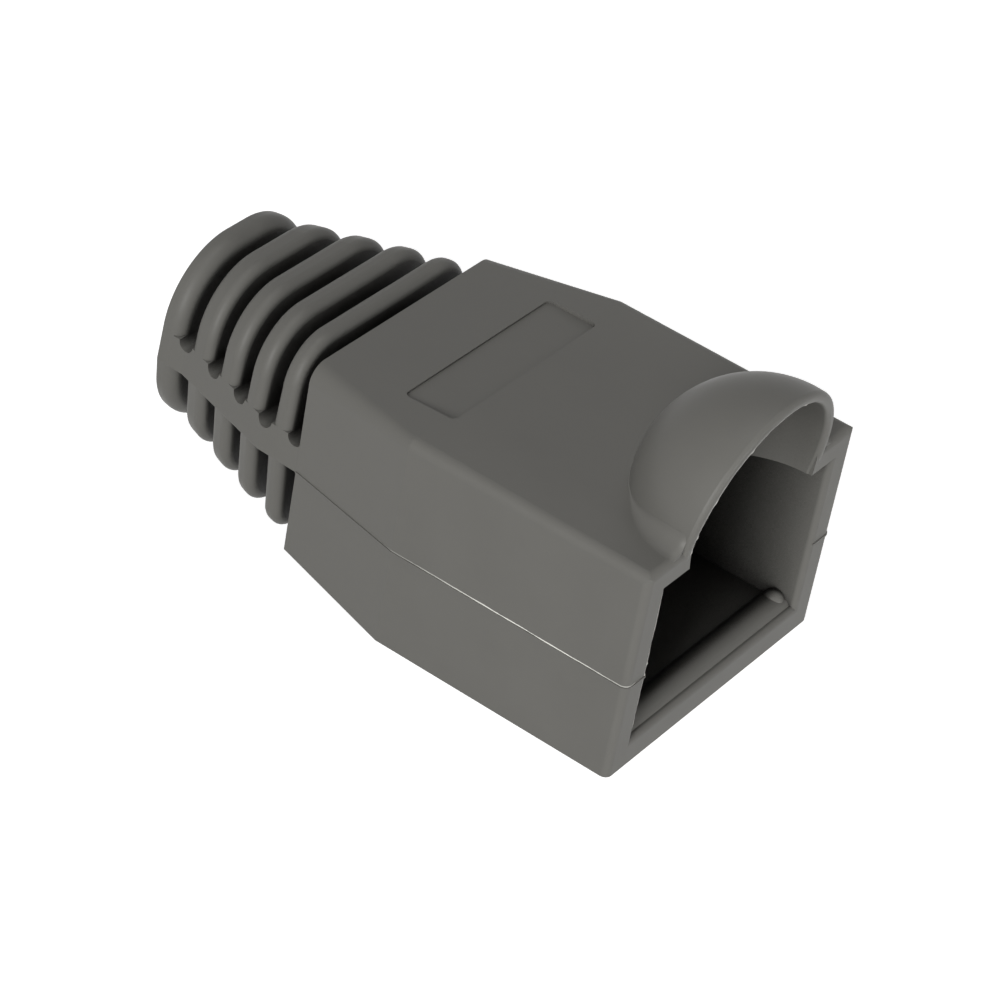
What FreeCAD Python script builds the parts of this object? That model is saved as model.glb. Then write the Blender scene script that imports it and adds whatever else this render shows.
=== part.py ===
"""Strain relief boot for an eight-way modular network plug: one soft moulding.

The boot lies along X with its mouth towards +X and its cable tail towards -X. Z is up, and the
origin is the middle of the flat part of the underside. All lengths are millimetres. A station is
a place along X, and a height is measured from the underside.
"""
import FreeCAD, Part
import Sketcher
import math
import os

SIZES = [
    ("body_width", 14.12, "outside width of the square body"),
    ("body_height", 9.74, "underside to roof of the square body"),
    ("straight_length", 11.18, "mouth to the bend where the body starts to narrow"),
    ("body_length", 16.83, "mouth to the back face of the body"),
    ("back_width", 11.75, "width at the back face"),
    ("back_rise", 0.56, "rise of the underside at the back face"),
    ("back_drop", 0.28, "fall of the roof at the back face"),
    ("roof_edge_mouth", 0.4, "rounding of the roof's long edges at the mouth"),
    ("roof_edge_bend", 0.45, "the same at the bend"),
    ("roof_edge_back", 0.8, "the same at the back face"),
    ("mouth_edge", 0.32, "rounding of the mouth's outer edges at its sides and roof"),
    ("side_wall", 1.34, "wall beside the plug"),
    ("floor_wall", 1.2, "wall under the plug"),
    ("roof_wall", 1.04, "wall over the plug"),
    ("plug_depth", 12.08, "depth of the pocket that takes the plug's tail"),
    ("mouth_flare", 0.25, "rounding of the pocket's rim at its sides and floor"),
    ("grip_height", 0.32, "grip ridge across the pocket's floor"),
    ("grip_radius", 0.8, "radius of the ridge's crest"),
    ("grip_setback", 0.93, "mouth to the crest of the ridge"),
    ("cable_radius", 3.0, "bore of the collar, for a six millimetre cable"),
    ("bore_root_radius", 3.25, "the same bore behind the funnel, wider by its draft"),
    ("cable_height", 5.0, "height of the cable's axis"),
    ("funnel_radius", 3.55, "wide end of the lead-in behind the plug"),
    ("funnel_length", 3.0, "length of the lead-in"),
    ("hood_radius", 4.8, "outside radius of the bubble over the latch"),
    ("hood_wall", 0.5, "wall of the bubble"),
    ("hood_bond", 0.03, "how far the bubble's inner skin stands inside the hole in the roof"),
    ("hood_setback", 0.08, "mouth to the bubble's centre"),
    ("lip_overhang", 0.06, "how far the bubble's lip stands out of the mouth at the roof"),
    ("lip_lean", 6.8, "forward lean of the lip in degrees"),
    ("lip_edge", 0.2, "rounding of the lip"),
    ("label_width", 9.5, "blank label recess, across the roof"),
    ("label_length", 2.4, "the recess along the roof"),
    ("label_setback", 10.83, "mouth to the front edge of the recess"),
    ("label_depth", 0.2, "depth of the recess"),
    ("label_corner", 0.3, "rounding of the recess's corners"),
    ("tail_length", 8.6, "back face of the body to the end of the tail"),
    ("shoulder_run", 2.0, "back face to where the tail starts to narrow faster"),
    ("neck_run", 7.2, "back face to where that narrowing ends"),
    ("tail_embed", 0.35, "how far the side spines run on inside the body"),
    ("side_lean", 6.0, "draft of the tail's sides above and below the parting line, in degrees"),
    ("root_floor", 0.42, "height of the tail's underside next to the body"),
    ("root_crown", 1.3, "its upper corners there"),
    ("root_corner", 0.6, "its lower corners there"),
    ("shoulder_width", 11.6, "tail at the shoulder"),
    ("shoulder_floor", 0.67, "height of its underside there"),
    ("shoulder_roof", 9.51, "height of its top there"),
    ("shoulder_crown", 2.5, "its upper corners there"),
    ("shoulder_corner", 1.5, "its lower corners there"),
    ("neck_width", 8.52, "tail at the neck"),
    ("neck_floor", 1.02, "height of its underside there"),
    ("neck_roof", 9.21, "height of its top there"),
    ("neck_crown", 3.2, "its upper corners there"),
    ("neck_corner", 2.1, "its lower corners there"),
    ("end_width", 8.46, "tail at the end face"),
    ("end_floor", 0.78, "height of its underside there"),
    ("end_roof", 9.12, "height of its top there"),
    ("end_crown", 3.5, "its upper corners there"),
    ("end_corner", 3.1, "its lower corners there"),
    ("slot_width", 0.72, "width of a flex slot"),
    ("slot_spacing", 1.6, "spacing of the slots next to the body"),
    ("spacing_growth", 0.08, "what each further spacing gains"),
    ("slot_end_spread", 0.01, "how much wider than half the slot its round lower end is"),
    ("ring_edge", 0.36, "rounding of the rings between the slots"),
    ("collar_edge", 0.56, "rounding of the collar towards the last slot"),
    ("end_edge", 0.15, "rounding of the collar's end face"),
    ("parting_height", 4.42, "height of the mould's parting line"),
    ("spine_height", 1.0, "parting line to the round lower ends of the upper slots"),
    ("flash_height", 0.08, "thickness of the moulding flash on the parting line"),
    ("flash_reach", 0.04, "how far the flash stands out"),
    ("nub_radius", 0.45, "small dome on each end of the grip ridge"),
    ("nub_height", 0.2, "how far that dome stands over the ridge"),
]
SLOTS = 5

doc = FreeCAD.newDocument("strain_relief_boot")
sheet = doc.addObject("Spreadsheet::Sheet", "sizes")
for row, (alias, value, meaning) in enumerate(SIZES, start=1):
    sheet.set("A%d" % row, alias)
    sheet.set("B%d" % row, str(value))
    sheet.set("C%d" % row, meaning)
    sheet.setAlias("B%d" % row, alias)
doc.recompute()

MOUTH = "sizes.straight_length / 2"
BEND = "-sizes.straight_length / 2"
BACK = "(sizes.straight_length / 2 - sizes.body_length)"
HOOD_CENTRE = MOUTH + " - sizes.hood_setback"
TAIL_END = "(" + BACK + " - sizes.tail_length)"
BACK_ROOF = "(sizes.body_height - sizes.back_drop)"
CEILING = "(sizes.body_height - sizes.roof_wall)"
SLOT_END = "(sizes.slot_width / 2 + sizes.slot_end_spread)"
ON_EDGE = 1e-3


def size(expression):
    """The number that an expression over the sheet gives."""
    value = sheet.evalExpression(expression)
    return float(getattr(value, "Value", value))


def bound(feature, **expressions):
    """Tie properties of a feature to expressions; a double underscore stands for a dot."""
    for name, expression in expressions.items():
        feature.setExpression(name.replace("__", "."), expression)
    return feature


def make(kind, name, **expressions):
    """A feature of the document with its sizes tied to the sheet."""
    return bound(doc.addObject(kind, name), **expressions)


def joined(name, pieces):
    """Several pieces as one solid."""
    union = make("Part::MultiFuse", name)
    union.Shapes = pieces
    doc.recompute()
    return union


def slot_front(number):
    """The station of a slot's front wall, counted from the body; the spacing grows rearwards."""
    spacings = "%d * sizes.slot_spacing + %d * sizes.spacing_growth"
    return BACK + " - (" + spacings % (number, number * (number - 1) // 2) + ")"


COLLAR_FRONT = slot_front(SLOTS - 1) + " - sizes.slot_width"


def new_sketch(body, name, role, offset):
    """A sketch on one of the body's own origin planes, moved along that plane's normal."""
    sketch = body.newObject("Sketcher::SketchObject", name)
    plane = next(item for item in body.Origin.OriginFeatures if item.Role == role)
    sketch.AttachmentSupport = [(plane, "")]
    sketch.MapMode = "FlatFace"
    return bound(sketch, AttachmentOffset__Base__z=offset)


def dimension(sketch, name, expression, *where):
    """A named dimension of a sketch, tied to the sheet."""
    value = size(expression)
    if where[0] == "Angle":
        value = math.radians(value)
    index = sketch.addConstraint(Sketcher.Constraint(*where, value))
    sketch.renameConstraint(index, name)
    sketch.setExpression("Constraints." + name, expression)


def polygon(sketch, corners):
    """A closed outline whose corners are pairs of expressions."""
    points = [FreeCAD.Vector(size(across), size(along), 0) for across, along in corners]
    count = len(points)
    for index in range(count):
        sketch.addGeometry(Part.LineSegment(points[index], points[(index + 1) % count]))
    for index in range(count):
        sketch.addConstraint(Sketcher.Constraint("Coincident", index, 2, (index + 1) % count, 1))
    for index, (across, along) in enumerate(corners):
        dimension(sketch, "across_%d" % index, across, "DistanceX", -1, 1, index, 1)
        dimension(sketch, "along_%d" % index, along, "DistanceY", -1, 1, index, 1)
    return sketch


def drafted_outline(sketch, width, low, high, top_corner, low_corner):
    """A rounded outline, widest at the parting line, whose sides lean in above and below it."""
    half = size(width) / 2
    floor = size(low)
    roof = size(high)
    top = size(top_corner)
    corner = size(low_corner)
    waist = size("sizes.parting_height")
    lean = math.radians(size("sizes.side_lean"))
    high_centre = roof - top
    high_side = half - (top + (high_centre - waist) * math.sin(lean)) / math.cos(lean)
    low_centre = floor + corner
    low_side = half - (corner + (waist - low_centre) * math.sin(lean)) / math.cos(lean)
    foot = (low_side + corner * math.cos(lean), low_centre - corner * math.sin(lean))
    head = (high_side + top * math.cos(lean), high_centre + top * math.sin(lean))

    def line(start, finish):
        sketch.addGeometry(Part.LineSegment(FreeCAD.Vector(*start, 0), FreeCAD.Vector(*finish, 0)))

    def arc(across, along, radius, start, finish):
        circle = Part.Circle(FreeCAD.Vector(across, along, 0), FreeCAD.Vector(0, 0, 1), radius)
        sketch.addGeometry(Part.ArcOfCircle(circle, start, finish))

    line((-low_side, floor), (low_side, floor))
    arc(low_side, low_centre, corner, -math.pi / 2, -lean)
    line(foot, (half, waist))
    line((half, waist), head)
    arc(high_side, high_centre, top, lean, math.pi / 2)
    line((high_side, roof), (-high_side, roof))
    arc(-high_side, high_centre, top, math.pi / 2, math.pi - lean)
    line((-head[0], head[1]), (-half, waist))
    line((-half, waist), (-foot[0], foot[1]))
    arc(-low_side, low_centre, corner, math.pi + lean, 3 * math.pi / 2)
    for first, second in [(0, 1), (1, 2), (3, 4), (4, 5), (5, 6), (6, 7), (8, 9), (9, 0)]:
        sketch.addConstraint(Sketcher.Constraint("Tangent", first, 2, second, 1))
    for first, second in [(2, 3), (7, 8)]:
        sketch.addConstraint(Sketcher.Constraint("Coincident", first, 2, second, 1))
    sketch.addConstraint(Sketcher.Constraint("Equal", 1, 9))
    sketch.addConstraint(Sketcher.Constraint("Equal", 4, 6))
    sketch.addConstraint(Sketcher.Constraint("Symmetric", 0, 1, 0, 2, -2))
    sketch.addConstraint(Sketcher.Constraint("Symmetric", 5, 1, 5, 2, -2))
    sketch.addConstraint(Sketcher.Constraint("Symmetric", 2, 2, 7, 2, -2))
    dimension(sketch, "width", width, "DistanceX", 7, 2, 2, 2)
    dimension(sketch, "waist", "sizes.parting_height", "DistanceY", -1, 1, 2, 2)
    dimension(sketch, "low", low, "DistanceY", -1, 1, 0, 1)
    dimension(sketch, "high", high, "DistanceY", -1, 1, 5, 1)
    dimension(sketch, "top_corner", top_corner, "Radius", 4)
    dimension(sketch, "low_corner", low_corner, "Radius", 1)
    dimension(sketch, "low_lean", "90 - sizes.side_lean", "Angle", 2)
    dimension(sketch, "high_lean", "90 + sizes.side_lean", "Angle", 3)
    return sketch


def arched_outline(sketch, width, low, high, top_corner):
    """A rectangle with square lower corners and rounded upper ones."""
    half = size(width) / 2
    floor = size(low)
    roof = size(high)
    top = size(top_corner)
    up = FreeCAD.Vector(0, 0, 1)
    right = Part.Circle(FreeCAD.Vector(half - top, roof - top, 0), up, top)
    left = Part.Circle(FreeCAD.Vector(-half + top, roof - top, 0), up, top)
    corners = [(-half, floor), (half, floor), (half, roof - top)]
    corners += [(half - top, roof), (-half + top, roof), (-half, roof - top)]
    points = [FreeCAD.Vector(across, along, 0) for across, along in corners]
    sketch.addGeometry(Part.LineSegment(points[0], points[1]))
    sketch.addGeometry(Part.LineSegment(points[1], points[2]))
    sketch.addGeometry(Part.ArcOfCircle(right, 0, math.pi / 2))
    sketch.addGeometry(Part.LineSegment(points[3], points[4]))
    sketch.addGeometry(Part.ArcOfCircle(left, math.pi / 2, math.pi))
    sketch.addGeometry(Part.LineSegment(points[5], points[0]))
    sketch.addConstraint(Sketcher.Constraint("Coincident", 0, 2, 1, 1))
    sketch.addConstraint(Sketcher.Constraint("Coincident", 5, 2, 0, 1))
    for index in range(1, 5):
        sketch.addConstraint(Sketcher.Constraint("Tangent", index, 2, index + 1, 1))
    sketch.addConstraint(Sketcher.Constraint("Vertical", 1))
    sketch.addConstraint(Sketcher.Constraint("Horizontal", 3))
    sketch.addConstraint(Sketcher.Constraint("Vertical", 5))
    sketch.addConstraint(Sketcher.Constraint("Equal", 2, 4))
    sketch.addConstraint(Sketcher.Constraint("Symmetric", 0, 1, 0, 2, -2))
    dimension(sketch, "width", width, "DistanceX", 5, 1, 1, 1)
    dimension(sketch, "low", low, "DistanceY", -1, 1, 0, 1)
    dimension(sketch, "high", high, "DistanceY", -1, 1, 3, 1)
    dimension(sketch, "top_corner", top_corner, "Radius", 2)
    return sketch


def ruled_loft(body, name, sketches):
    """A straight-sided loft through sketches of one body."""
    loft = body.newObject("PartDesign::AdditiveLoft", name)
    loft.Profile = sketches[0]
    loft.Sections = sketches[1:]
    loft.Ruled = True
    return loft


def edges_where(shape, test):
    """Numbers of the edges whose every sampled point between the ends passes the test."""
    numbers = []
    for number, edge in enumerate(shape.Edges, start=1):
        if not edge.Degenerated and all(test(point) for point in edge.discretize(7)[1:-1]):
            numbers.append(number)
    return numbers


def rounded(body, name, base, test, radius):
    """Round the edges of a feature that pass the test."""
    doc.recompute()
    fillet = body.newObject("PartDesign::Fillet", name)
    fillet.Base = (base, ["Edge%d" % number for number in edges_where(base.Shape, test)])
    return bound(fillet, Radius=radius)


def square_body():
    """The square body that the plug's tail sits in, with its pocket and its blank label recess."""
    body = doc.addObject("PartDesign::Body", "square_body")
    mouth = new_sketch(body, "mouth_outline", "YZ_Plane", MOUTH)
    arched_outline(mouth, "sizes.body_width", "0", "sizes.body_height", "sizes.roof_edge_mouth")
    bend = new_sketch(body, "bend_outline", "YZ_Plane", BEND)
    arched_outline(bend, "sizes.body_width", "0", "sizes.body_height", "sizes.roof_edge_bend")
    back = new_sketch(body, "back_outline", "YZ_Plane", BACK)
    arched_outline(back, "sizes.back_width", "sizes.back_rise", BACK_ROOF, "sizes.roof_edge_back")
    ruled_loft(body, "blank", [mouth, bend, back])

    opening = new_sketch(body, "pocket_outline", "YZ_Plane", MOUTH)
    half = "(sizes.body_width / 2 - sizes.side_wall)"
    floor = "sizes.floor_wall"
    polygon(opening, [("-" + half, floor), (half, floor), (half, CEILING), ("-" + half, CEILING)])
    pocket = bound(body.newObject("PartDesign::Pocket", "plug_pocket"), Length="sizes.plug_depth")
    pocket.Profile = opening
    doc.recompute()

    front = size(MOUTH)
    inner_side = size(half) + ON_EDGE
    under_ceiling = size(CEILING) - ON_EDGE

    def on_rim(point):
        at_mouth = abs(point.x - front) < ON_EDGE
        return at_mouth and abs(point.y) < inner_side and ON_EDGE < point.z < under_ceiling

    rounded(body, "rim_rounding", pocket, on_rim, "sizes.mouth_flare")

    label = new_sketch(body, "label_outline", "XY_Plane", "sizes.body_height")
    half = "sizes.label_width / 2"
    front_edge = MOUTH + " - sizes.label_setback"
    rear_edge = front_edge + " - sizes.label_length"
    corners = [(rear_edge, "-" + half), (front_edge, "-" + half), (front_edge, half)]
    polygon(label, corners + [(rear_edge, half)])
    recess = bound(body.newObject("PartDesign::Pocket", "label_recess"), Length="sizes.label_depth")
    recess.Profile = label
    doc.recompute()

    edge_side = size(half)
    edge_back = size(rear_edge)
    edge_front = size(front_edge)

    def upright_corner(point):
        at_end = min(abs(point.x - edge_back), abs(point.x - edge_front)) < ON_EDGE
        return at_end and abs(abs(point.y) - edge_side) < ON_EDGE

    rounded(body, "label_rounding", recess, upright_corner, "sizes.label_corner")
    doc.recompute()
    return body


def soft_mouth(body):
    """The square body trimmed to a block whose front edges, but not the lowest, are rounded."""
    block = make("Part::Box", "mouth_block", Length="sizes.body_length + sizes.tail_embed")
    bound(block, Width="sizes.body_width", Height="sizes.body_height")
    bound(block, Placement__Base__x=BACK + " - sizes.tail_embed")
    bound(block, Placement__Base__y="-sizes.body_width / 2")
    doc.recompute()
    front = size(MOUTH)
    radius = size("sizes.mouth_edge")

    def front_edge(point):
        return abs(point.x - front) < ON_EDGE and point.z > ON_EDGE

    soft_block = make("Part::Fillet", "soft_mouth_block")
    soft_block.Base = block
    soft_block.Edges = [(n, radius, radius) for n in edges_where(block.Shape, front_edge)]
    trimmed = make("Part::Common", "soft_body")
    trimmed.Base = body
    trimmed.Tool = soft_block
    doc.recompute()
    return trimmed


def tail_form():
    """The whole outline of the cable tail, before the flex slots divide it."""
    body = doc.addObject("PartDesign::Body", "tail_form")
    stations = [
        ("root", BACK + " + sizes.tail_embed", "sizes.back_width", BACK_ROOF),
        ("shoulder", BACK + " - sizes.shoulder_run", "sizes.shoulder_width", "sizes.shoulder_roof"),
        ("neck", BACK + " - sizes.neck_run", "sizes.neck_width", "sizes.neck_roof"),
        ("end", TAIL_END, "sizes.end_width", "sizes.end_roof"),
    ]
    outlines = []
    for place, station, width, high in stations:
        outline = new_sketch(body, place + "_outline", "YZ_Plane", station)
        low = "sizes." + place + "_floor"
        crown = "sizes." + place + "_crown"
        corner = "sizes." + place + "_corner"
        outlines.append(drafted_outline(outline, width, low, high, crown, corner))
    ruled_loft(body, "tail_loft", outlines)
    doc.recompute()
    return body


def slab_of(form, name, rear, thickness):
    """The slice of a form that lies between two stations."""
    slab = make("Part::Box", name + "_slab", Length=thickness)
    bound(slab, Width="4 * sizes.body_width", Height="4 * sizes.body_height")
    bound(slab, Placement__Base__x=rear)
    bound(slab, Placement__Base__y="-2 * sizes.body_width")
    bound(slab, Placement__Base__z="-sizes.body_height")
    piece = make("Part::Common", name)
    piece.Base = form
    piece.Tool = slab
    doc.recompute()
    return piece


def rounded_ends(piece, name, rims):
    """Round the rims of a slice; each rim is a station and a radius."""
    edges = []
    for station, radius in rims:
        for number in edges_where(piece.Shape, lambda point: abs(point.x - station) < ON_EDGE):
            edges.append((number, radius, radius))
    fillet = make("Part::Fillet", name)
    fillet.Base = piece
    fillet.Edges = edges
    doc.recompute()
    return fillet


def tail_rings(form):
    """The flexible rings between the slots, and the collar that closes round the cable."""
    pieces = []
    for number in range(1, SLOTS):
        rear = slot_front(number)
        thickness = "(" + slot_front(number - 1) + ") - sizes.slot_width - (" + rear + ")"
        radius = min(size("sizes.ring_edge"), 0.45 * size(thickness))
        ring = slab_of(form, "ring_%d" % number, rear, thickness)
        rims = [(size(rear), radius), (size(rear) + size(thickness), radius)]
        pieces.append(rounded_ends(ring, "soft_ring_%d" % number, rims))
    length = COLLAR_FRONT + " - " + TAIL_END
    front_radius = min(size("sizes.collar_edge"), 0.6 * size(length))
    end_radius = min(size("sizes.end_edge"), 0.3 * size(length))
    collar = slab_of(form, "collar", TAIL_END, length)
    rims = [(size(TAIL_END) + size(length), front_radius), (size(TAIL_END), end_radius)]
    pieces.append(rounded_ends(collar, "soft_collar", rims))
    return pieces


def side_spines(form):
    """The solid strips beside the cable that tie the rings to the body, scooped at each slot."""
    rear = "(" + COLLAR_FRONT + " - sizes.tail_embed)"
    band_height = "sizes.flash_height / 2 + sizes.spine_height + " + SLOT_END
    band = make("Part::Box", "spine_band", Length=BACK + " + sizes.tail_embed - " + rear)
    bound(band, Width="4 * sizes.body_width", Height=band_height)
    bound(band, Placement__Base__x=rear, Placement__Base__y="-2 * sizes.body_width")
    bound(band, Placement__Base__z="sizes.parting_height - sizes.flash_height / 2")
    strips = make("Part::Common", "spine_strips")
    strips.Base = form
    strips.Tool = band
    scoops = []
    for number in range(SLOTS):
        scoop = make("Part::Cylinder", "slot_end_%d" % number, Radius=SLOT_END)
        scoop.Placement.Rotation = FreeCAD.Rotation(FreeCAD.Vector(1, 0, 0), -90)
        bound(scoop, Height="4 * sizes.body_width")
        bound(scoop, Placement__Base__x=slot_front(number) + " - sizes.slot_width / 2")
        bound(scoop, Placement__Base__y="-2 * sizes.body_width")
        bound(scoop, Placement__Base__z="sizes.parting_height + sizes.spine_height + " + SLOT_END)
        scoops.append(scoop)
    spines = make("Part::Cut", "side_spines")
    spines.Base = strips
    spines.Tool = joined("slot_ends", scoops)
    doc.recompute()
    return spines


def parting_flash():
    """The thin line of flash that the mould's two halves leave round the square body."""
    body = doc.addObject("PartDesign::Body", "parting_flash")
    plan = new_sketch(body, "plan_outline", "XY_Plane", "sizes.parting_height - sizes.flash_height / 2")
    reach = " / 2 + sizes.flash_reach"
    front = MOUTH + " + sizes.flash_reach"
    inside = "(sizes.body_width / 2 - sizes.side_wall + sizes.mouth_flare / 2)"
    side = [
        (MOUTH + " - sizes.plug_depth", inside),
        (front, inside),
        (front, "sizes.body_width" + reach),
        (BEND, "sizes.body_width" + reach),
        (BACK, "sizes.back_width" + reach),
    ]
    other = [(station, "-(" + half + ")") for station, half in reversed(side)]
    polygon(plan, side + other)
    plate = bound(body.newObject("PartDesign::Pad", "flash_plate"), Length="sizes.flash_height")
    plate.Profile = plan
    doc.recompute()
    corner_station = size(front)
    corner_side = size("sizes.body_width" + reach)

    def front_corner(point):
        at_front = abs(point.x - corner_station) < ON_EDGE
        return at_front and abs(abs(point.y) - corner_side) < ON_EDGE

    rounded(body, "flash_rounding", plate, front_corner, "sizes.mouth_edge + sizes.flash_reach")
    doc.recompute()
    return body


def latch_hood():
    """The bubble over the plug's latch: a quarter of a hollow ball with a rounded, leaning lip."""
    outer = make("Part::Sphere", "hood_ball", Radius="sizes.hood_radius")
    inner = make("Part::Sphere", "hood_void", Radius="sizes.hood_radius - sizes.hood_wall")
    for ball in (outer, inner):
        bound(ball, Placement__Base__x=HOOD_CENTRE, Placement__Base__z="sizes.body_height")
    shell = make("Part::Cut", "hood_shell")
    shell.Base = outer
    shell.Tool = inner

    keep = make("Part::Box", "hood_keep", Length="4 * sizes.hood_radius")
    bound(keep, Width="4 * sizes.hood_radius", Height="4 * sizes.hood_radius")
    lean = size("sizes.lip_lean")
    turn = FreeCAD.Rotation(FreeCAD.Vector(0, 1, 0), lean)
    foot = FreeCAD.Vector(size(MOUTH + " + sizes.lip_overhang"), 0, size("sizes.body_height"))
    corner = FreeCAD.Vector(-4, -2, -2) * size("sizes.hood_radius")
    keep.Placement = FreeCAD.Placement(foot + turn.multVec(corner), turn)
    behind_lip = make("Part::Common", "hood_behind_lip")
    behind_lip.Base = shell
    behind_lip.Tool = keep

    above = make("Part::Box", "hood_above", Length="4 * sizes.hood_radius")
    bound(above, Width="4 * sizes.hood_radius", Height="2 * sizes.hood_radius")
    bound(above, Placement__Base__x=HOOD_CENTRE + " - 2 * sizes.hood_radius")
    bound(above, Placement__Base__y="-2 * sizes.hood_radius", Placement__Base__z=CEILING)
    hood = make("Part::Common", "hood_half")
    hood.Base = behind_lip
    hood.Tool = above
    doc.recompute()

    radius = min(size("sizes.lip_edge"), 0.45 * size("sizes.hood_wall"))
    normal = turn.multVec(FreeCAD.Vector(1, 0, 0))
    lip = edges_where(hood.Shape, lambda point: abs((point - foot).dot(normal)) < ON_EDGE)
    arcs = [number for number in lip if hood.Shape.Edges[number - 1].Length > size("sizes.hood_radius")]
    soft = make("Part::Fillet", "latch_hood")
    soft.Base = hood
    soft.Edges = [(arc, radius, radius) for arc in arcs]
    doc.recompute()
    return soft


def grip_ridge():
    """The low round ridge across the pocket's floor that grips the plug, with a dome at each end."""
    crest = "sizes.floor_wall + sizes.grip_height"
    station = MOUTH + " - sizes.grip_setback"
    rod = make("Part::Cylinder", "grip_rod", Radius="sizes.grip_radius")
    bound(rod, Height="sizes.body_width - sizes.side_wall")
    rod.Placement.Rotation = FreeCAD.Rotation(FreeCAD.Vector(1, 0, 0), -90)
    bound(rod, Placement__Base__x=station, Placement__Base__z=crest + " - sizes.grip_radius")
    bound(rod, Placement__Base__y="-(sizes.body_width - sizes.side_wall) / 2")
    pieces = [rod]
    for name, side in [("near_nub", "-"), ("far_nub", "")]:
        nub = make("Part::Sphere", name, Radius="sizes.nub_radius")
        place = "(sizes.body_width / 2 - sizes.side_wall - sizes.nub_radius / 2)"
        bound(nub, Placement__Base__x=station, Placement__Base__y=side + place)
        bound(nub, Placement__Base__z=crest + " + sizes.nub_height - sizes.nub_radius")
        pieces.append(nub)
    floor = make("Part::Box", "grip_zone", Length="4 * sizes.grip_radius")
    bound(floor, Width="sizes.body_width", Height="4 * sizes.grip_radius")
    bound(floor, Placement__Base__x=station + " - 2 * sizes.grip_radius")
    bound(floor, Placement__Base__y="-sizes.body_width / 2", Placement__Base__z="sizes.floor_wall / 2")
    ridge = make("Part::Common", "grip_ridge")
    ridge.Base = joined("grip_forms", pieces)
    ridge.Tool = floor
    return ridge


def cable_way():
    """The funnel behind the plug's pocket, the drafted bore and the collar's true round bore."""
    pocket_end = MOUTH + " - sizes.plug_depth"
    funnel_end = "(" + pocket_end + " - sizes.funnel_length)"
    funnel = make("Part::Cone", "funnel", Radius1="sizes.funnel_radius")
    bound(funnel, Radius2="sizes.bore_root_radius", Height="sizes.funnel_length")
    draft = make("Part::Cone", "drafted_bore", Radius1="sizes.bore_root_radius")
    bound(draft, Radius2="sizes.cable_radius", Height=funnel_end + " - (" + COLLAR_FRONT + ")")
    bore = make("Part::Cylinder", "collar_bore", Radius="sizes.cable_radius")
    bound(bore, Height=COLLAR_FRONT + " - " + TAIL_END + " + sizes.slot_width")
    stations = [(funnel, pocket_end), (draft, funnel_end), (bore, COLLAR_FRONT)]
    for piece, station in stations:
        piece.Placement.Rotation = FreeCAD.Rotation(FreeCAD.Vector(0, 1, 0), -90)
        bound(piece, Placement__Base__x=station, Placement__Base__z="sizes.cable_height")
    return joined("cable_way", [funnel, draft, bore])


def latch_room():
    """The hole in the roof under the bubble, a little wider than the bubble's inner skin."""
    skin = "sizes.hood_radius - sizes.hood_wall"
    ball = make("Part::Sphere", "latch_room", Radius=skin + " + sizes.hood_bond")
    return bound(ball, Placement__Base__x=HOOD_CENTRE, Placement__Base__z="sizes.body_height")


form = tail_form()
rear_half = joined("rear_half", tail_rings(form) + [side_spines(form)])
sleeve = joined("sleeve", [soft_mouth(square_body()), rear_half, parting_flash()])
hollow = joined("hollow", [cable_way(), latch_room()])
open_sleeve = make("Part::Cut", "open_sleeve")
open_sleeve.Base = sleeve
open_sleeve.Tool = hollow
boot = joined("boot", [open_sleeve, latch_hood(), grip_ridge()])
boot.Label = "boot"
boot.Refine = True
doc.recompute()

for item in doc.Objects:
    if {"Invalid", "Error"} & set(item.State):
        raise RuntimeError(item.Label + " did not build: " + str(item.State))
shape = boot.Shape
if shape.isNull() or not shape.isValid() or len(shape.Solids) != 1:
    raise RuntimeError("the boot is not one sound solid")

os.makedirs("parts", exist_ok=True)
shape.exportStep("parts/" + boot.Label + ".step")
box = shape.optimalBoundingBox()
print("boot %.1f x %.1f x %.1f mm" % (box.XLength, box.YLength, box.ZLength))
print("volume %.1f cubic mm" % shape.Volume)
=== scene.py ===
"""The looks of a strain relief boot for a modular network plug, dressed over its CAD solid."""
import bmesh
import bpy
from math import asin, atan2, cos, exp, radians, sin, sqrt
from mathutils import Matrix, Vector, noise


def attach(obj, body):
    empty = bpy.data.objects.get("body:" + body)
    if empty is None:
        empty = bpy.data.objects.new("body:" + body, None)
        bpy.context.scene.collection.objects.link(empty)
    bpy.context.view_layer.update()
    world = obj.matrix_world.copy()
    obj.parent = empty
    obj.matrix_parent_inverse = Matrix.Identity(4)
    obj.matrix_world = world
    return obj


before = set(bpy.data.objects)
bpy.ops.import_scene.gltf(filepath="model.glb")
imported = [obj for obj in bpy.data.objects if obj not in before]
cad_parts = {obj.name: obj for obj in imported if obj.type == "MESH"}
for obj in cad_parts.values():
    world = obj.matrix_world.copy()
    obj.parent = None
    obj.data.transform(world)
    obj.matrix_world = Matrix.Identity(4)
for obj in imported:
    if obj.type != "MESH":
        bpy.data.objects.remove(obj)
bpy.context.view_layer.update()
MM = 0.001

# The photograph's view. The boot is shot with a long lens from its near left, a little over a
# third of the way up, with its mouth turned to the right, and the camera is rolled.
bubble_centre = 5.51 * MM
view_azimuth = radians(30.09)
view_elevation = radians(36.71)
view_roll = radians(10.89)
view_distance = 159.76 * MM
view_target = Vector((bubble_centre - 8 * MM, 0, 5 * MM))
view_slide = Vector((-2.526 * MM, 0.021 * MM))
focal_pixels = 4092.2
photo_pixels = 1000
sensor_width = 36

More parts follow.
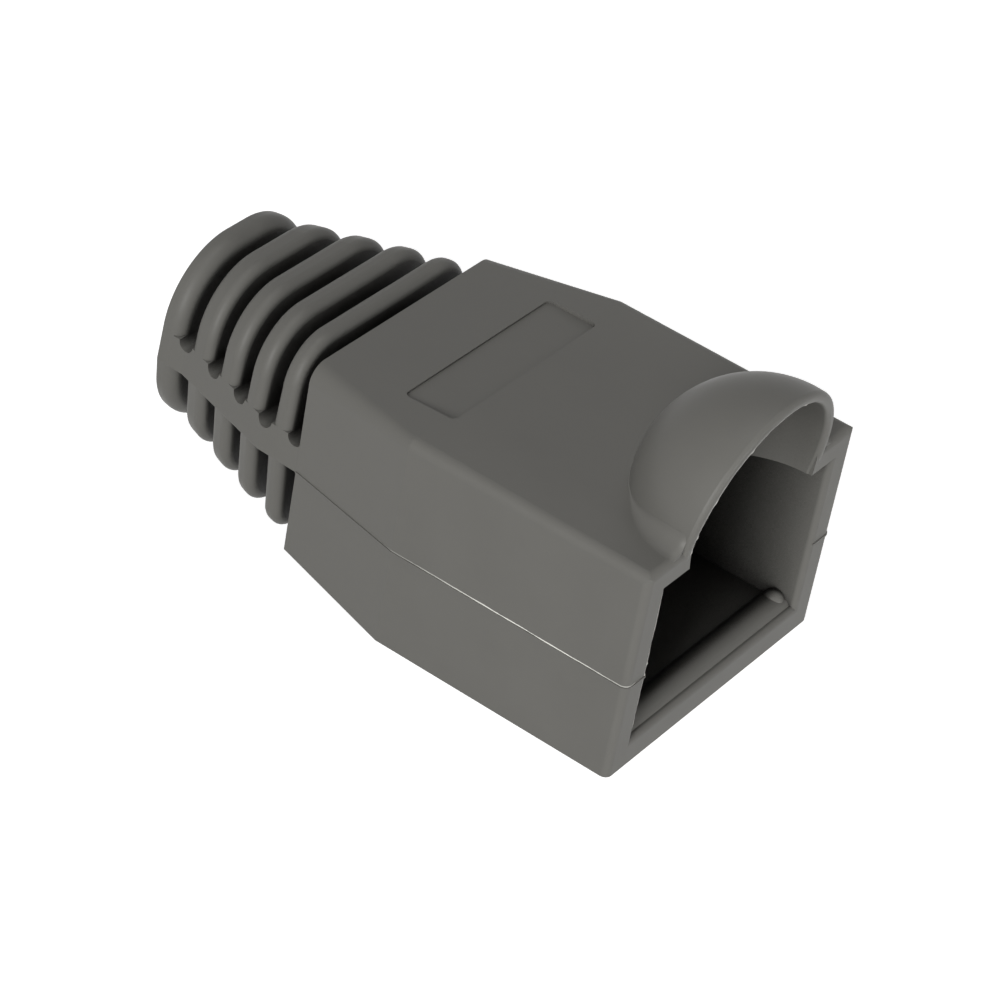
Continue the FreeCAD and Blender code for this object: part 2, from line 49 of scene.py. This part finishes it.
view_back = Vector((
    sin(view_azimuth) * cos(view_elevation),
    -cos(view_azimuth) * cos(view_elevation),
    sin(view_elevation),
))
level_right = Vector((cos(view_azimuth), sin(view_azimuth), 0))
level_up = view_back.cross(level_right)
view_right = cos(view_roll) * level_right + sin(view_roll) * level_up
view_up = cos(view_roll) * level_up - sin(view_roll) * level_right
lens_place = view_target + view_back * view_distance
lens_place += view_right * view_slide.x + view_up * view_slide.y
camera_data = bpy.data.cameras.new("camera")
camera_data.sensor_width = sensor_width
camera_data.lens = focal_pixels / photo_pixels * sensor_width
camera_data.clip_start = 10 * MM
camera_data.clip_end = 20
camera = bpy.data.objects.new("camera", camera_data)
turn = Matrix((view_right, view_up, view_back)).transposed().to_4x4()
camera.matrix_world = Matrix.Translation(lens_place) @ turn
bpy.context.scene.collection.objects.link(camera)
bpy.context.scene.camera = camera


# The boot. It is one injection moulding of plasticised vinyl, dark grey all through, which comes out
# of its mould satin, with a cloudy colour and a skin that is a little smoother in places. Its pocket
# and slots are painted nearly black: painted shade, darker the less open air a spot sees.
vinyl_light = "#6e6d69"
vinyl_dark = "#676662"
cloud_size = 2.6 * MM
smoothest_skin = 0.38
roughest_skin = 0.54
vinyl_gloss = 0.18
grain_size = 0.16 * MM
grain_depth = 0.0015 * MM
# Painted shade: the vinyl's colour goes to this near black where the boot sees little open air, in its
# pocket and slots.
painted_shade_dark = "#100f0e"
painted_shade_reach = 15 * MM
fully_shaded_openness = 0.2
unshaded_openness = 0.48


def linear(code):
    """A colour written as an sRGB hex code, turned to the linear values that shaders take."""
    values = []
    for start in (1, 3, 5):
        share = int(code[start:start + 2], 16) / 255
        values.append(share / 12.92 if share <= 0.04045 else ((share + 0.055) / 1.055) ** 2.4)
    return (*values, 1)


def add_node(tree, kind, settings=None, **links):
    """A node with its properties set and its inputs set or joined."""
    node = tree.nodes.new(kind)
    for name, value in (settings or {}).items():
        setattr(node, name, value)
    for name, value in links.items():
        socket = node.inputs[name.replace("_", " ")]
        if isinstance(value, bpy.types.NodeSocket):
            tree.links.new(value, socket)
        else:
            socket.default_value = value
    return node


def vinyl_skin(material, colour_of):
    """The satin skin that all the vinyl has; colour_of gives its colour from a place on the boot."""
    material.use_nodes = True
    tree = material.node_tree
    tree.nodes.clear()
    place = add_node(tree, "ShaderNodeTexCoord").outputs["Object"]
    smear = add_node(tree, "ShaderNodeTexNoise", Vector=place, Scale=1 / cloud_size, Detail=2.0)
    roughness = add_node(tree, "ShaderNodeMapRange", Value=smear.outputs["Fac"])
    roughness.inputs["To Min"].default_value = smoothest_skin
    roughness.inputs["To Max"].default_value = roughest_skin
    grain = add_node(tree, "ShaderNodeTexNoise", Vector=place, Scale=1 / grain_size, Detail=2.0)
    bump = add_node(tree, "ShaderNodeBump", Height=grain.outputs["Fac"], Distance=grain_depth)
    shader = add_node(
        tree, "ShaderNodeBsdfPrincipled", Base_Color=colour_of(tree, place), IOR=1.5,
        Roughness=roughness.outputs["Result"], Specular_IOR_Level=vinyl_gloss,
        Normal=bump.outputs["Normal"]
    )
    output = add_node(tree, "ShaderNodeOutputMaterial")
    tree.links.new(shader.outputs["BSDF"], output.inputs["Surface"])
    return material


def cloudy_grey_and_painted_shade(tree, place):
    """Plasticised vinyl: a warm grey, clouded every few millimetres, with painted shade that turns it
    near black where little open air reaches.
    """
    cloud = add_node(tree, "ShaderNodeTexNoise", Vector=place, Scale=1 / cloud_size, Detail=3.0)
    mix = add_node(tree, "ShaderNodeMix", {"data_type": "RGBA"}, Factor=cloud.outputs["Fac"])
    mix.inputs["A"].default_value = linear(vinyl_dark)
    mix.inputs["B"].default_value = linear(vinyl_light)
    # Painted shade: an occlusion reading darkens the colour towards near black in the pocket and slots.
    open_air = add_node(tree, "ShaderNodeAmbientOcclusion", {"samples": 8, "only_local": True})
    open_air.inputs["Distance"].default_value = painted_shade_reach
    depth = add_node(tree, "ShaderNodeMapRange", Value=open_air.outputs["AO"])
    depth.inputs["From Min"].default_value = fully_shaded_openness
    depth.inputs["From Max"].default_value = unshaded_openness
    painted_shade = add_node(tree, "ShaderNodeMix", {"data_type": "RGBA"}, Factor=depth.outputs["Result"])
    painted_shade.inputs["A"].default_value = linear(painted_shade_dark)
    tree.links.new(mix.outputs["Result"], painted_shade.inputs["B"])
    return painted_shade.outputs["Result"]


moulded_vinyl = vinyl_skin(bpy.data.materials.new("moulded soft vinyl with painted shade"), cloudy_grey_and_painted_shade)
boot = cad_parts["boot"]
boot.data.materials.clear()
boot.data.materials.append(moulded_vinyl)


# The bubble's foot. Where the bubble meets the roof the mould is cut sharp behind, and opens into a
# soft hollow on each side of the mouth. This strip of the same vinyl is that hollow.
bubble_radius = 4.8 * MM
roof_height = 9.74 * MM
mouth_rounding = 0.32 * MM
mouth_station = 5.59 * MM
sharpest_hollow = 0.05 * MM
softest_hollow = 0.85 * MM
hollow_start = radians(40)
hollow_end = radians(86)
strip_depth = 0.1 * MM
sharpest_smooth_bend = radians(30)


def add_piece(name, mesh, material):
    """A piece of the boot, with the material given, that rides on the boot's body."""
    piece = bpy.data.objects.new(name, mesh)
    bpy.context.scene.collection.objects.link(piece)
    mesh.materials.clear()
    mesh.materials.append(material)
    for face in mesh.polygons:
        face.use_smooth = True
    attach(piece, "root")
    return piece


def bubble_foot(name, side):
    """One side's hollow, bent from a flat strip: its length runs round the foot, from the back."""
    form = bmesh.new()
    bmesh.ops.create_grid(form, x_segments=72, y_segments=10, size=0.5)
    for vertex in form.verts:
        turned = radians(90) * (vertex.co.x + 0.5)
        swell = min(max((turned - hollow_start) / (hollow_end - hollow_start), 0), 1)
        swell = swell * swell * (3 - 2 * swell)
        hollow = sharpest_hollow + (softest_hollow - sharpest_hollow) * swell
        middle = sqrt(bubble_radius ** 2 + 2 * bubble_radius * hollow)
        lowest = radians(270)
        highest = radians(180) + asin(hollow / (bubble_radius + hollow))
        across = lowest + (highest - lowest) * (vertex.co.y + 0.5)
        reach = middle + hollow * cos(across)
        height = roof_height + hollow * (1 + sin(across))
        station = bubble_centre - reach * cos(turned)
        past_rounding = max(station - (mouth_station - mouth_rounding), 0)
        height -= mouth_rounding - sqrt(mouth_rounding ** 2 - past_rounding ** 2)
        vertex.co = (station, side * reach * sin(turned), height)
    buried = bmesh.ops.extrude_face_region(form, geom=form.faces[:])["geom"]
    for item in buried:
        if isinstance(item, bmesh.types.BMVert):
            inward = Vector((bubble_centre - item.co.x, -item.co.y, 0)).normalized()
            item.co += strip_depth * (inward - Vector((0, 0, 1)))
    bmesh.ops.recalc_face_normals(form, faces=form.faces)
    for edge in form.edges:
        edge.smooth = edge.calc_face_angle(0) < sharpest_smooth_bend
    mesh = bpy.data.meshes.new(name)
    form.to_mesh(mesh)
    form.free()
    return add_piece(name, mesh, moulded_vinyl)


bubble_foot("near_bubble_foot", -1)
bubble_foot("far_bubble_foot", 1)


# The flash on the parting line. Vinyl creeps out as a hair of fin where the mould's two halves close
# on each other, along both sides from the bend and round the near front corner. Torn off, it leaves
# a rough thread of the same vinyl, with a painted highlight that colours it white near the middle of
# the body.
side_half = 7.06 * MM
inner_half = 5.72 * MM
bend_station = -5.59 * MM
parting_height = 4.42 * MM
fin_sunk = 0.02 * MM
fin_height = parting_height + 0.07 * MM
fin_thickness = 0.08 * MM
fin_waver = 0.012 * MM
past_bend = 1.2 * MM
narrowing = 0.25 * MM
past_rim = 0.1 * MM
slow_waver = 0.7 * MM
quick_waver = 0.2 * MM
thinnest_end = 0.25
burr_swell = 2.2
burr_spread = 0.012
# Painted highlight: the flash is coloured this white near the middle of the body, where light catches
# its edge.
painted_highlight_white = "#f0efe8"
brightest_highlight_station = 1.0 * MM
full_highlight_reach = 1.56 * MM
no_highlight_reach = 6.76 * MM
highlight_left_far_off = 0.12
noise.seed_set(3)


def painted_flash_highlight(tree, place):
    """Painted highlight on the flash: white most near the middle of the body, and plain vinyl far from
    it.
    """
    along = add_node(tree, "ShaderNodeSeparateXYZ", Vector=place).outputs["X"]
    away = add_node(tree, "ShaderNodeMath", {"operation": "SUBTRACT"})
    tree.links.new(along, away.inputs[0])
    away.inputs[1].default_value = brightest_highlight_station
    distance = add_node(tree, "ShaderNodeMath", {"operation": "ABSOLUTE"})
    tree.links.new(away.outputs["Value"], distance.inputs[0])
    highlight_share = add_node(tree, "ShaderNodeMapRange", Value=distance.outputs["Value"])
    highlight_share.inputs["From Min"].default_value = full_highlight_reach
    highlight_share.inputs["From Max"].default_value = no_highlight_reach
    highlight_share.inputs["To Min"].default_value = 1.0
    highlight_share.inputs["To Max"].default_value = highlight_left_far_off
    mix = add_node(tree, "ShaderNodeMix", {"data_type": "RGBA"}, Factor=highlight_share.outputs["Result"])
    mix.inputs["A"].default_value = linear(vinyl_light)
    mix.inputs["B"].default_value = linear(painted_highlight_white)
    return mix.outputs["Result"]


# All the flash threads take this vinyl with its painted highlight.
flash_vinyl_with_painted_highlight = vinyl_skin(bpy.data.materials.new("flash vinyl with painted highlight"), painted_flash_highlight)


def flash_thread(name, route, thickness, waver, burrs=()):
    """A hair of flash along a route of points, a little uneven, with a lump at each burr's share."""
    curve = bpy.data.curves.new(name, "CURVE")
    curve.dimensions = "3D"
    curve.bevel_depth = thickness / 2
    curve.bevel_resolution = 2
    curve.use_fill_caps = True
    spline = curve.splines.new("POLY")
    spline.points.add(len(route) - 1)
    for index, place in enumerate(route):
        drift = noise.noise_vector(place / slow_waver) + 0.5 * noise.noise_vector(place / quick_waver)
        spline.points[index].co = (*(place + waver * drift), 1)
        share = index / (len(route) - 1)
        ends = min(1, 12 * share, 12 * (1 - share))
        lump = sum(burr_swell * exp(-((share - burr) / burr_spread) ** 2) for burr in burrs)
        body = (1 - thinnest_end) * ends * (0.8 + 0.3 * drift.x)
        spline.points[index].radius = thinnest_end + body + lump
    thread = bpy.data.objects.new(name, curve)
    mesh = bpy.data.meshes.new_from_object(thread)
    bpy.data.objects.remove(thread)
    return add_piece(name, mesh, flash_vinyl_with_painted_highlight)


def between(start, finish, steps):
    """Points along a straight stretch, without its last one."""
    return [start.lerp(finish, step / steps) for step in range(steps)]


def round_corner(middle, radius, start, finish, steps):
    """Points of a level arc, without its last one."""
    turns = [start + (finish - start) * step / steps for step in range(steps)]
    return [middle + radius * Vector((cos(turn), sin(turn), 0)) for turn in turns]


for name, side in (("near", -1), ("far", 1)):
    corner = Vector((mouth_station - mouth_rounding, side * (side_half - mouth_rounding), fin_height))
    outside = side * (side_half - fin_sunk)
    route = between(
        Vector((bend_station - past_bend, outside - side * narrowing, fin_height)),
        Vector((bend_station, outside, fin_height)), 10
    )
    route += between(
        Vector((bend_station, outside, fin_height)), Vector((corner.x, outside, fin_height)), 90
    )
    if name == "near":
        route += round_corner(corner, mouth_rounding - fin_sunk, side * radians(90), 0, 12)
        front = mouth_station - fin_sunk
        route += between(
            Vector((front, corner.y, fin_height)),
            Vector((front, side * (inner_half + past_rim), fin_height)), 10
        )
    flash_thread(name + "_parting_flash", route, fin_thickness, fin_waver)


# The flash in the mouth. A finer thread of the vinyl hangs down the near inner edge, where the mould's
# core shut off on its cavity, with burrs where it broke. It sits where the rounded edge turns.
ceiling_height = 8.70 * MM
floor_height = 1.20 * MM
rim_rounding = 0.25 * MM
mouth_waver = 0.010 * MM
view_side = Vector((view_back.x, view_back.y, 0)).normalized()
edge_normal = Vector((-view_side.y, view_side.x, 0))
rim = Vector((mouth_station - rim_rounding, -(inner_half + rim_rounding), 0))
on_edge = rim + rim_rounding * edge_normal
# The mouth's threads carry the same painted highlight, partly white this far forward.
for name, low_end, high_end, thickness, burrs in (
    ("near_upper", parting_height, ceiling_height - 0.1 * MM, 0.034 * MM, (0.02, 0.15)),
    ("near_lower", floor_height + 0.6 * MM, parting_height, 0.02 * MM, ()),
):
    route = between(on_edge + Vector((0, 0, low_end)), on_edge + Vector((0, 0, high_end)), 60)
    flash_thread(name + "_mouth_flash", route, thickness, mouth_waver, burrs)


# The flash on the bubble's lip. The same fine thread of vinyl is left where the core shut off along
# the lip's rounded inner edge, with small nicks and burrs where it tore.
inner_radius = 4.3 * MM
lip_rounding = 0.2 * MM
lip_lean = radians(6.8)
lip_station = 5.65 * MM
lip_thickness = 0.026 * MM
lip_start = -4
lip_sweep = 120
lip_steps = 120
lip_burrs = (0.02, 0.1, 0.27, 0.52, 0.9)
facing = Vector((cos(lip_lean), 0, -sin(lip_lean)))
rising = Vector((sin(lip_lean), 0, cos(lip_lean)))
lip_middle = Vector((bubble_centre, 0, roof_height))
lip_middle += facing * ((lip_station - bubble_centre) * cos(lip_lean) - lip_rounding)
lip_route = []
for step in range(lip_steps + 1):
    turned = radians(lip_start + lip_sweep * step / lip_steps)
    outward = Vector((0, -cos(turned), 0)) + rising * sin(turned)
    out_of_sight = atan2(facing.dot(view_back), outward.dot(view_back))
    normal = cos(out_of_sight) * facing - sin(out_of_sight) * outward
    lip_route.append(lip_middle + (inner_radius + lip_rounding) * outward + lip_rounding * normal)
# The lip's thread carries the same painted highlight, partly white here.
flash_thread("lip_flash", lip_route, lip_thickness, mouth_waver, lip_burrs)


# The studio. A sheet of matt white paper under the boot runs out of view, burnt out to white for the
# camera apart from a faint shadow. Four soft lamps light the boot from its near side, from in front
# and from above, and a weak one lifts its far side.
paper_glow = 0.78
dim_sky = 0.02
floor_half = 3


def seen_by_eye(tree, path):
    """One for rays that the camera sees straight, in a gloss or through a clear piece; else nought."""
    straight_or_gloss = add_node(tree, "ShaderNodeMath", {"operation": "MAXIMUM"})
    tree.links.new(path.outputs["Is Camera Ray"], straight_or_gloss.inputs[0])
    tree.links.new(path.outputs["Is Glossy Ray"], straight_or_gloss.inputs[1])
    seen = add_node(tree, "ShaderNodeMath", {"operation": "MAXIMUM"})
    tree.links.new(straight_or_gloss.outputs["Value"], seen.inputs[0])
    tree.links.new(path.outputs["Is Transmission Ray"], seen.inputs[1])
    return seen.outputs["Value"]


def white_paper():
    """Paper that looks white, but throws only a little light back up on the boot."""
    material = bpy.data.materials.new("white studio paper")
    material.use_nodes = True
    tree = material.node_tree
    tree.nodes.clear()
    path = add_node(tree, "ShaderNodeLightPath")
    seen = seen_by_eye(tree, path)
    lit = add_node(tree, "ShaderNodeBsdfDiffuse", Color=(0.3, 0.3, 0.3, 1))
    shaded = add_node(tree, "ShaderNodeBsdfDiffuse", Color=(0.8, 0.8, 0.8, 1))
    glow = add_node(tree, "ShaderNodeEmission", Strength=paper_glow)
    burnt_out = tree.nodes.new("ShaderNodeAddShader")
    tree.links.new(shaded.outputs["BSDF"], burnt_out.inputs[0])
    tree.links.new(glow.outputs["Emission"], burnt_out.inputs[1])
    mix = add_node(tree, "ShaderNodeMixShader", Fac=seen)
    tree.links.new(lit.outputs["BSDF"], mix.inputs[1])
    tree.links.new(burnt_out.outputs["Shader"], mix.inputs[2])
    output = add_node(tree, "ShaderNodeOutputMaterial")
    tree.links.new(mix.outputs["Shader"], output.inputs["Surface"])
    return material


floor_mesh = bpy.data.meshes.new("studio_floor")
floor_form = bmesh.new()
bmesh.ops.create_grid(floor_form, x_segments=1, y_segments=1, size=floor_half)
floor_form.to_mesh(floor_mesh)
floor_form.free()
studio_floor = bpy.data.objects.new("studio_floor", floor_mesh)
bpy.context.scene.collection.objects.link(studio_floor)
floor_mesh.materials.append(white_paper())

world = bpy.data.worlds.new("studio")
bpy.context.scene.world = world
world.use_nodes = True
sky = world.node_tree
path = add_node(sky, "ShaderNodeLightPath")
strength = add_node(sky, "ShaderNodeMapRange", Value=seen_by_eye(sky, path), To_Min=dim_sky, To_Max=1.0)
sky.nodes["Background"].inputs["Color"].default_value = (1, 1, 1, 1)
sky.links.new(strength.outputs["Result"], sky.nodes["Background"].inputs["Strength"])


def soft_lamp(name, place, width, power):
    """A square lamp that faces the boot; its place is in millimetres from the boot's middle."""
    data = bpy.data.lights.new(name, "AREA")
    data.size = width * MM
    data.energy = power
    lamp = bpy.data.objects.new(name, data)
    middle = Vector((-6 * MM, 0, 5 * MM))
    offset = Vector(place) * MM
    lamp.location = middle + offset
    lamp.rotation_euler = offset.to_track_quat("Z", "Y").to_euler()
    bpy.context.scene.collection.objects.link(lamp)
    return lamp


soft_lamp("side_lamp", (60, -300, 120), 100, 0.66)
soft_lamp("forward_side_lamp", (130, -300, 60), 100, 0.24)
soft_lamp("low_front_lamp", (360, 0, 20), 100, 0.6)
soft_lamp("top_lamp", (0, 0, 360), 160, 0.3)
far_side_lamp = soft_lamp("far_side_lamp", (-150, 300, 30), 160, 0.3)
far_side_lamp.visible_glossy = False

bpy.context.scene.view_settings.view_transform = "Standard"
